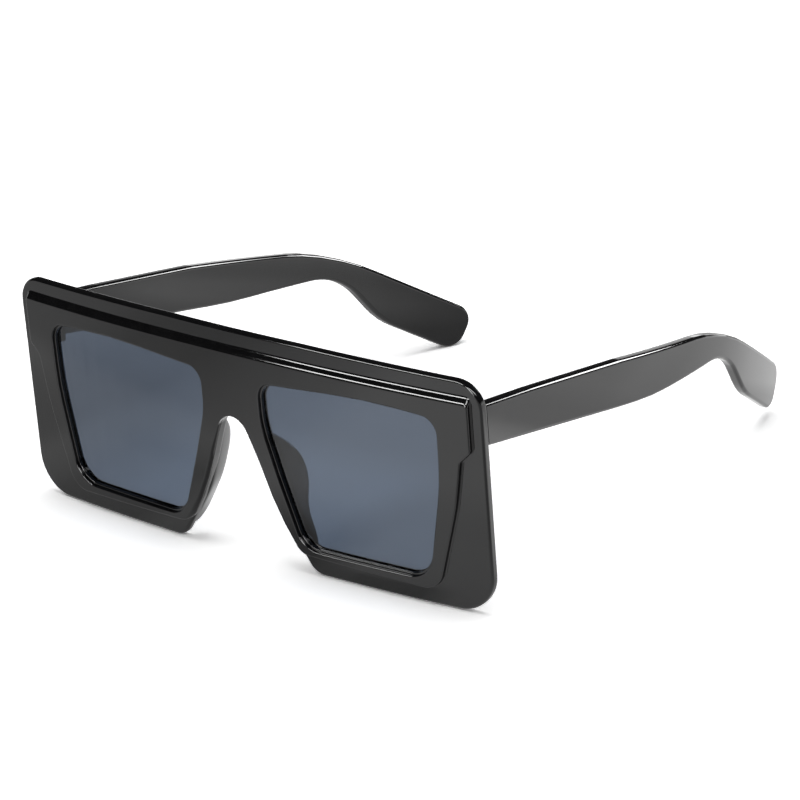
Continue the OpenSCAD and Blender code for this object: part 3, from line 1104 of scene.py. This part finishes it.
@dataclass(frozen=True)
class NosePad:
    """One nose pad, drawn out of the nose wall as a smooth fin.

    Each level has its height, how far the tip's middle lies beyond the nose edge, and the tip's depth
    and radius.
    """

    side: Side
    levels: tuple[tuple[float, float, float, float], ...] = (
        (36.0, 0.5, 1.0, 0.6), (34.3, 1.3, 2.8, 1.1), (32.3, 2.2, 4.8, 1.7), (30.0, 3.1, 6.8, 2.3),
        (27.0, 4.2, 8.1, 2.6), (23.5, 4.4, 8.5, 2.5), (19.5, 3.8, 8.2, 2.3), (16.0, 2.3, 7.3, 2.1),
        (12.5, 0.8, 6.8, 1.9), (9.0, 0.3, 6.6, 1.5), (5.5, 0.2, 5.8, 1.0), (3.0, 0.3, 3.2, 0.7),
    )
    cage: tuple[CagePoint, ...] = (
        CagePoint(out=0.17, back=-0.2),
        CagePoint(depth=0.3, most=0.8),
        CagePoint(flare=0.12, depth=0.35),
        CagePoint(flare=0.42, depth=0.65),
        CagePoint(flare=0.81, depth=0.9),
        CagePoint(flare=0.4, swell=0.6, depth=1.0, r=1.15),
        CagePoint(swell=1.0, depth=1.0, r=0.75),
        CagePoint(swell=0.6, base=0.4, depth=0.62, back=0.3),
        CagePoint(base=1.0, depth=0.3, back=0.3),
        CagePoint(base=0.7, back=-0.2),
    )
    proud: float = 0.02
    base_t: float = 3.2
    flare_share: float = 0.18
    least_t: float = 0.9
    subdivisions: int = 3

    def ring(self, level: tuple[float, float, float, float]) -> list[Vector]:
        """Places the cage round the pad at one level.

        Args:
            level: the level's height, distance, depth and radius.

        Returns:
            The cage's points, the one on the wall's front first.
        """
        z, off, depth, r = level
        edge, swell = OUTLINES.nose_x(z) - self.proud, off + r
        flare = min(self.flare_share * depth, swell - self.least_t)
        points = []
        for c in self.cage:
            x = edge + c.flare * flare + c.swell * swell + c.base * self.base_t + c.out
            points.append(Vector((x, min(c.most, c.depth * depth + c.r * r + c.back), z)))
        return points

    def make(self) -> bpy.types.Object:
        """Builds the pad.

        Returns:
            The finished object, in place of the CAD's.
        """
        rings = [self.ring(level) for level in self.levels]
        around = len(self.cage)
        bpy.ops.object.select_all(action="DESELECT")
        bpy.ops.mesh.primitive_circle_add(vertices=around, radius=1.0, fill_type="NGON")
        draft = Draft(f"nose_pad_{self.side.word}.fin")
        for top in range(len(rings) - 1):
            draft.extrude(lambda f: all(abs(v.co.z - top) < SAME_PLACE for v in f.verts), Vector((0, 0, 1)))

        def lofted(p: Vector) -> Vector:
            """Takes a point of the prism to its place on the pad's cage."""
            turn = math.degrees(math.atan2(p.y, p.x)) % 360
            return rings[round(p.z)][round(turn / 360 * around) % around]

        draft.mapped(lofted).face_outward().refine(self.subdivisions)
        draft.mapped(lambda p: STANCE.bowed(across(p, self.side))).face_outward()
        draft.focus()
        bpy.ops.object.shade_smooth()
        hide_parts(f"nose_pad_{self.side.word}")
        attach(draft.obj, "front")
        return draft.obj


# Finishes


class Shader:
    """A node tree that is filled by hand."""

    def __init__(self, tree: bpy.types.NodeTree) -> None:
        """Clears a tree and keeps it."""
        self.tree = tree
        tree.nodes.clear()

    def add(
        self, kind: str, inputs: dict[str | int, object] | None = None, **settings: object,
    ) -> bpy.types.Node:
        """Adds a node.

        Args:
            kind: the node's type without its ShaderNode prefix, or a full name.
            inputs: values or sockets for its inputs, by name or index.
            **settings: the node's own properties.

        Returns:
            The new node.
        """
        node = self.tree.nodes.new(kind if kind.startswith("Node") else "ShaderNode" + kind)
        for name, value in settings.items():
            setattr(node, name, value)
        for name, value in (inputs or {}).items():
            if isinstance(value, bpy.types.NodeSocket):
                self.tree.links.new(value, node.inputs[name])
            else:
                node.inputs[name].default_value = value
        return node

    def times(
        self, a: bpy.types.NodeSocket | float, b: bpy.types.NodeSocket | float,
    ) -> bpy.types.NodeSocket:
        """Adds the product of two values."""
        return self.add("Math", {0: a, 1: b}, operation="MULTIPLY").outputs[0]

    def ranged(
        self, value: bpy.types.NodeSocket, to: tuple[float, float], given: tuple[float, float] = (0.0, 1.0),
    ) -> bpy.types.NodeSocket:
        """Adds a map from the range that a value is given in to another, held at its ends."""
        ends = {"From Min": given[0], "From Max": given[1], "To Min": to[0], "To Max": to[1]}
        return self.add("MapRange", {"Value": value, **ends}).outputs[0]


def new_material(name: str) -> tuple[bpy.types.Material, Shader]:
    """Starts a material.

    Args:
        name: the material's name.

    Returns:
        The material and its cleared tree.
    """
    material = bpy.data.materials.new(name)
    material.use_nodes = True
    return material, Shader(material.node_tree)


def moulded_group() -> bpy.types.NodeTree:
    """Makes the faint flow of moulded plastic: a fine grain, a slow waviness and a mask of handling marks.

    Returns:
        The group, with Height and Marks as outputs.
    """
    tree = bpy.data.node_groups.new("moulded_surface", "ShaderNodeTree")
    for name, value in (("Grain Scale", 2600.0), ("Wave Scale", 45.0), ("Mark Scale", 130.0)):
        tree.interface.new_socket(name, in_out="INPUT", socket_type="NodeSocketFloat").default_value = value
    for name in ("Height", "Marks"):
        tree.interface.new_socket(name, in_out="OUTPUT", socket_type="NodeSocketFloat")
    s = Shader(tree)
    given = s.add("NodeGroupInput").outputs
    where = s.add("TexCoord").outputs["Object"]
    grain = s.add("TexNoise", {"Vector": where, "Scale": given["Grain Scale"], "Detail": 2.0})
    wave = s.add("TexNoise", {"Vector": where, "Scale": given["Wave Scale"], "Detail": 1.0})
    marks = s.add("TexNoise", {
        "Vector": where, "Scale": given["Mark Scale"], "Detail": 6.0, "Roughness": 0.65})
    both = {0: wave.outputs["Fac"], 1: WAVE_OVER_GRAIN, 2: grain.outputs["Fac"]}
    height = s.add("Math", both, operation="MULTIPLY_ADD").outputs[0]
    mask = s.ranged(marks.outputs["Fac"], (0.0, 1.0), MARK_RANGE)
    s.add("NodeGroupOutput", {"Height": height, "Marks": mask})
    return tree


@dataclass(frozen=True)
class Plastic:
    """Black moulded plastic with a high gloss."""

    name: str
    colour: tuple[float, float, float]
    marked_colour: tuple[float, float, float]
    roughness: tuple[float, float] = (0.06, 0.11)
    ior: float = 1.5
    bump: float = 0.04
    bump_deep: float = 0.00001

    def make(self, surface: bpy.types.NodeTree) -> bpy.types.Material:
        """Builds the material.

        Args:
            surface: the shared group that gives height and marks.

        Returns:
            The material, a little lighter and rougher at the marks.
        """
        material, s = new_material(self.name)
        flow = s.add("Group", node_tree=surface).outputs
        pair = {0: flow["Marks"], 6: (*self.colour, 1), 7: (*self.marked_colour, 1)}
        colour = s.add("Mix", pair, data_type="RGBA")
        rough = s.ranged(flow["Marks"], self.roughness)
        bump = s.add("Bump", {"Height": flow["Height"], "Strength": self.bump, "Distance": self.bump_deep})
        shader = s.add("BsdfPrincipled", {
            "Base Color": colour.outputs[2], "Roughness": rough, "IOR": self.ior,
            "Normal": bump.outputs[0]})
        s.add("OutputMaterial", {"Surface": shader.outputs[0]})
        return material


@dataclass(frozen=True)
class TintedGlass:
    """Grey-blue tinted lens, clear to shadow rays up to its tint."""

    name: str = "lens_tint"
    tint: tuple[float, float, float] = (0.050, 0.067, 0.096)
    ior: float = 1.5
    roughness: tuple[float, float] = (0.0, 0.02)
    mark_scale: float = 60.0

    def make(self, surface: bpy.types.NodeTree) -> bpy.types.Material:
        """Builds the material.

        Args:
            surface: the shared group that gives height and marks.

        Returns:
            The material, a little rough at the marks.
        """
        material, s = new_material(self.name)
        flow = s.add("Group", {"Mark Scale": self.mark_scale}, node_tree=surface)
        rough = s.ranged(flow.outputs["Marks"], self.roughness)
        glass = s.add("BsdfPrincipled", {
            "Base Color": (*self.tint, 1), "Roughness": rough, "IOR": self.ior,
            "Transmission Weight": 1.0})
        clear = s.add("BsdfTransparent", {"Color": (*self.tint, 1)})
        shadow = s.add("LightPath").outputs["Is Shadow Ray"]
        mix = s.add("MixShader", {0: shadow, 1: glass.outputs[0], 2: clear.outputs[0]})
        s.add("OutputMaterial", {"Surface": mix.outputs[0]})
        return material


@dataclass(frozen=True)
class Steel:
    """Brushed metal, with its strokes along one axis."""

    name: str
    colour: tuple[float, float, float]
    stroke: tuple[float, float, float]
    roughness: tuple[float, float] = (0.22, 0.38)
    most_marks: float = 1.6
    bump: float = 0.15
    bump_deep: float = 0.00002

    def make(self, surface: bpy.types.NodeTree) -> bpy.types.Material:
        """Builds the material.

        Args:
            surface: the shared group that gives height and marks.

        Returns:
            The material, rougher on a stroke and at a mark.
        """
        material, s = new_material(self.name)
        where = s.add("TexCoord").outputs["Object"]
        along = s.add("Mapping", {"Vector": where, "Scale": self.stroke})
        strokes = s.add("TexNoise", {"Vector": along.outputs[0], "Scale": 1.0, "Detail": 4.0})
        flow = s.add("Group", node_tree=surface)
        both = s.add("Math", {0: strokes.outputs["Fac"], 1: flow.outputs["Marks"]}, operation="ADD")
        rough = s.ranged(both.outputs[0], self.roughness, (0.0, self.most_marks))
        bump = s.add("Bump", {
            "Height": strokes.outputs["Fac"], "Strength": self.bump, "Distance": self.bump_deep})
        shader = s.add("BsdfPrincipled", {
            "Base Color": (*self.colour, 1), "Metallic": 1.0, "Roughness": rough,
            "Normal": bump.outputs[0]})
        s.add("OutputMaterial", {"Surface": shader.outputs[0]})
        return material


def dress(obj: bpy.types.Object, material: bpy.types.Material) -> None:
    """Gives an object one material."""
    obj.data.materials.clear()
    obj.data.materials.append(material)


# Studio


@dataclass(frozen=True)
class Camera:
    """The photograph's own view. Its aim is a place in millimetres before the glasses are centred."""

    azimuth: float = 39.282
    elevation: float = 20.46
    roll: float = -2.0
    angle: float = 12.585
    distance: float = 836.2
    aim: tuple[float, float, float] = (48.86, 0.0, 50.46)
    nudge: float = 0.4
    clip_start: float = 0.02

    def make(self) -> None:
        """Adds the camera and makes it the scene's."""
        a, e, roll = (math.radians(v) for v in (self.azimuth, self.elevation, self.roll))
        back = Vector((math.sin(a) * math.cos(e), -math.cos(a) * math.cos(e), math.sin(e)))
        right = Vector((math.cos(a), math.sin(a), 0.0))
        up = back.cross(right)
        across_x = right * math.cos(roll) + up * math.sin(roll)
        across_y = up * math.cos(roll) - right * math.sin(roll)
        aim = Vector(self.aim) - Vector((0, STANCE.middle_y, 0)) + across_x * self.nudge
        data = bpy.data.cameras.new("camera")
        data.angle = math.radians(self.angle)
        data.clip_start = self.clip_start
        camera = bpy.data.objects.new("camera", data)
        bpy.context.collection.objects.link(camera)
        camera.matrix_world = Matrix.Translation((aim + back * self.distance) * MM) @ Matrix(
            (across_x, across_y, back)).transposed().to_4x4()
        bpy.context.scene.camera = camera


@dataclass(frozen=True)
class Softbox:
    """A rectangular lamp that faces the glasses. Azimuth 0 is behind them, 90 at the wearer's left."""

    name: str
    azimuth: float
    elevation: float
    size: tuple[float, float]
    radiance: float
    away: float = 1.3
    gloss_only: bool = True
    lift: float = 0.03

    def make(self) -> None:
        """Adds the lamp, which the camera doesn't see."""
        a, e = math.radians(self.azimuth), math.radians(self.elevation)
        towards = Vector((math.sin(a) * math.cos(e), math.cos(a) * math.cos(e), math.sin(e)))
        data = bpy.data.lights.new(self.name, "AREA")
        data.shape = "RECTANGLE"
        data.size, data.size_y = self.size
        data.energy = self.radiance * math.pi * self.size[0] * self.size[1]
        lamp = bpy.data.objects.new(self.name, data)
        bpy.context.collection.objects.link(lamp)
        lamp.location = towards * self.away + Vector((0, 0, self.lift))
        lamp.rotation_euler = towards.to_track_quat("Z", "Y").to_euler()
        lamp.visible_camera = False
        lamp.visible_transmission = False
        lamp.visible_glossy = self.gloss_only
        lamp.visible_diffuse = not self.gloss_only


@dataclass(frozen=True)
class Zone:
    """A part of the floor that is brighter or darker in gloss: a patch of painted light, or of painted
    shade where its factor is under one.

    In x and in y it has a start and an end, each a soft edge from one place to another. FAR as place
    leaves the edge out.
    """

    factor: float
    x: tuple[float, float, float, float]
    y: tuple[float, float, float, float]

    def add(self, s: Shader, place: bpy.types.Node) -> bpy.types.NodeSocket:
        """Adds the zone's nodes to the floor's tree.

        Args:
            s: the floor's tree.
            place: the node that gives a place on the floor as X and Y.

        Returns:
            The zone's factor at that place.
        """
        inside = 1.0
        for axis, (a, b, c, d) in (("X", self.x), ("Y", self.y)):
            for low, high, mask in ((a, b, (0.0, 1.0)), (c, d, (1.0, 0.0))):
                if abs(low) < FAR:
                    inside = s.times(inside, s.ranged(place.outputs[axis], mask, (low, high)))
        return s.ranged(inside, (1.0, self.factor))


@dataclass(frozen=True)
class Studio:
    """White floor, white surroundings, a soft lamp overhead and four lamps for the edges' shine."""

    floor_size: float = 12.0
    floor_colour: float = 0.9
    floor_white: float = 2.2
    through_glow: float = 0.3
    gloss_level: float = 1.3
    gloss_shares: tuple[float, float] = (0.6, 0.45)
    fill: float = 0.4
    sky_gloss: float = 0.015
    horizon_gloss: float = 2.2
    horizon_z: tuple[float, float] = (0.02, 0.15)
    horizon_y: tuple[float, float] = (-0.1, 0.2)
    # Patches of painted light and painted shade on the floor, seen only in reflections
    zones: tuple[Zone, ...] = (
        Zone(0.5, (-FAR, -FAR, -0.09, -0.02), (-FAR, -FAR, -0.13, -0.10)),
        Zone(0.62, (-FAR, -FAR, -0.10, -0.07), (-0.12, -0.10, 0.0, 0.05)),
        Zone(1.35, (-0.07, -0.05, 0.0, 0.015), (-0.065, -0.055, -0.02, 0.0)),
        Zone(1.15, (0.02, 0.04, FAR, FAR), (0.05, 0.07, FAR, FAR)),
        Zone(0.45, (0.07, 0.11, FAR, FAR), (-FAR, -FAR, -0.08, -0.055)),
        Zone(1.75, (0.075, 0.10, FAR, FAR), (-0.06, -0.05, 0.02, 0.035)),
        Zone(0.5, (-FAR, -FAR, -0.03, 0.06), (0.03, 0.07, FAR, FAR)),
        Zone(0.4, (-0.03, -0.01, 0.015, 0.03), (-0.11, -0.09, -0.075, -0.06)),
        Zone(1.2, (-0.03, -0.01, FAR, FAR), (-FAR, -FAR, -0.13, -0.11)),
        Zone(1.25, (-FAR, -FAR, -0.145, -0.12), (-FAR, -FAR, -0.12, -0.10)),
        Zone(1.2, (0.105, 0.125, FAR, FAR), (0.0, 0.03, FAR, FAR)),
        Zone(1.22, (0.03, 0.045, 0.065, 0.085), (0.09, 0.10, FAR, FAR)),
        Zone(1.5, (-0.03, 0.0, 0.022, 0.038), (0.05, 0.062, 0.072, 0.085)),
        Zone(0.6, (0.02, 0.032, 0.05, 0.06), (-0.081, -0.078, -0.066, -0.055)),
        Zone(0.6, (-0.09, -0.07, -0.04, -0.02), (-0.12, -0.105, -0.07, -0.06)),
    )
    boxes: tuple[Softbox, ...] = (
        Softbox("back_strip", 15.0, 28.2, (0.5, 0.27), 20.0),
        Softbox("front_strip", -161.0, 27.0, (0.76, 0.22), 22.0),
        Softbox("side_strip", 130.0, 38.0, (1.1, 0.2), 14.0),
        Softbox("corner_strip", 170.0, 13.0, (0.2, 0.6), 20.0),
        Softbox("overhead", 180.0, 88.0, (1.0, 1.0), 2.2, 1.5, False),
    )

    def floor(self) -> None:
        """Adds the floor, which is white to the camera and keeps the shadows; in gloss its colour and a
        glow of its own are painted light, shaded off by the zones, and through the lenses it has a painted
        glow.
        """
        bpy.ops.object.select_all(action="DESELECT")
        bpy.ops.mesh.primitive_plane_add(size=self.floor_size)
        floor = bpy.context.object
        floor.name = "studio_floor"
        material, s = new_material("studio_floor")
        path = s.add("LightPath").outputs
        place = s.add("SeparateXYZ", {0: s.add("TexCoord").outputs["Object"]})
        level = self.gloss_level
        for zone in self.zones:
            level = s.times(zone.add(s, place), level)
        white = s.add("Mix", {0: path["Is Camera Ray"], 2: self.floor_colour, 3: self.floor_white})
        lit, own = (s.times(level, share) for share in self.gloss_shares)
        colour = s.add("Mix", {0: path["Is Glossy Ray"], 2: white.outputs[0], 3: lit})
        paper = s.add("BsdfDiffuse", {"Color": colour.outputs[0]})
        # The floor's own painted glow, in gloss and through the lenses
        in_gloss = s.times(path["Is Glossy Ray"], own)
        through = {0: path["Is Transmission Ray"], 1: self.through_glow, 2: in_gloss}
        glow = s.add("Math", through, operation="MULTIPLY_ADD")
        shine = s.add("Emission", {"Strength": glow.outputs[0]})
        both = s.add("AddShader", {0: paper.outputs[0], 1: shine.outputs[0]})
        s.add("OutputMaterial", {"Surface": both.outputs[0]})
        dress(floor, material)

    def surroundings(self) -> None:
        """Adds a world that is white to the camera, dark in gloss and a plain fill for the rest."""
        world = bpy.data.worlds.new("studio")
        world.use_nodes = True
        bpy.context.scene.world = world
        s = Shader(world.node_tree)
        path = s.add("LightPath").outputs
        direction = s.add("SeparateXYZ", {0: s.add("TexCoord").outputs["Generated"]})
        low = s.ranged(direction.outputs["Z"], (self.horizon_gloss, self.sky_gloss), self.horizon_z)
        behind = s.ranged(direction.outputs["Y"], (self.sky_gloss, self.horizon_gloss), self.horizon_y)
        sky = s.add("Math", {0: low, 1: behind}, operation="MINIMUM").outputs[0]
        straight = {0: path["Is Camera Ray"], 1: path["Is Transmission Ray"]}
        direct = s.add("Math", straight, operation="MAXIMUM")
        fill, gloss, white = (
            s.add("Background", {"Color": WHITE, "Strength": strength})
            for strength in (self.fill, sky, 1.0)
        )
        other = s.add("MixShader", {0: path["Is Glossy Ray"], 1: fill.outputs[0], 2: gloss.outputs[0]})
        mix = s.add("MixShader", {0: direct.outputs[0], 1: other.outputs[0], 2: white.outputs[0]})
        s.add("OutputWorld", {"Surface": mix.outputs[0]})

    def make(self) -> None:
        """Adds floor, surroundings and lamps."""
        self.floor()
        self.surroundings()
        for box in self.boxes:
            box.make()
        bpy.context.scene.view_settings.view_transform = "Standard"


def main() -> None:
    """Builds and dresses the glasses, then the studio and the camera."""
    logging.basicConfig(level=logging.INFO, format="%(message)s")
    surface = moulded_group()
    plastic = Plastic("frame_plastic", (0.006, 0.006, 0.0065), (0.009, 0.009, 0.0095)).make(surface)
    glass = TintedGlass().make(surface)
    hinge_steel = Steel("hinge_steel", (0.58, 0.58, 0.57), (900.0, 900.0, 9000.0)).make(surface)
    core_steel = Steel("core_wire", (0.45, 0.45, 0.45), (9000.0, 300.0, 9000.0)).make(surface)

    made = [(Front().make(), plastic)]
    made += [(Lens(side).make(), glass) for side in Side]
    made += [(NosePad(side).make(), plastic) for side in Side]
    made += [(Temple(side).make(), plastic) for side in Side]
    for piece, material in made:
        dress(piece, material)
        log.info("piece %s: %d faces", piece.name, len(piece.data.polygons))
    for name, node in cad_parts.items():
        if node.hide_render:
            continue
        dress(node, core_steel if "core" in name else hinge_steel)
        log.info("CAD node %s dressed", name)

    Studio().make()
    Camera().make()


if __name__ == "__main__":
    main()
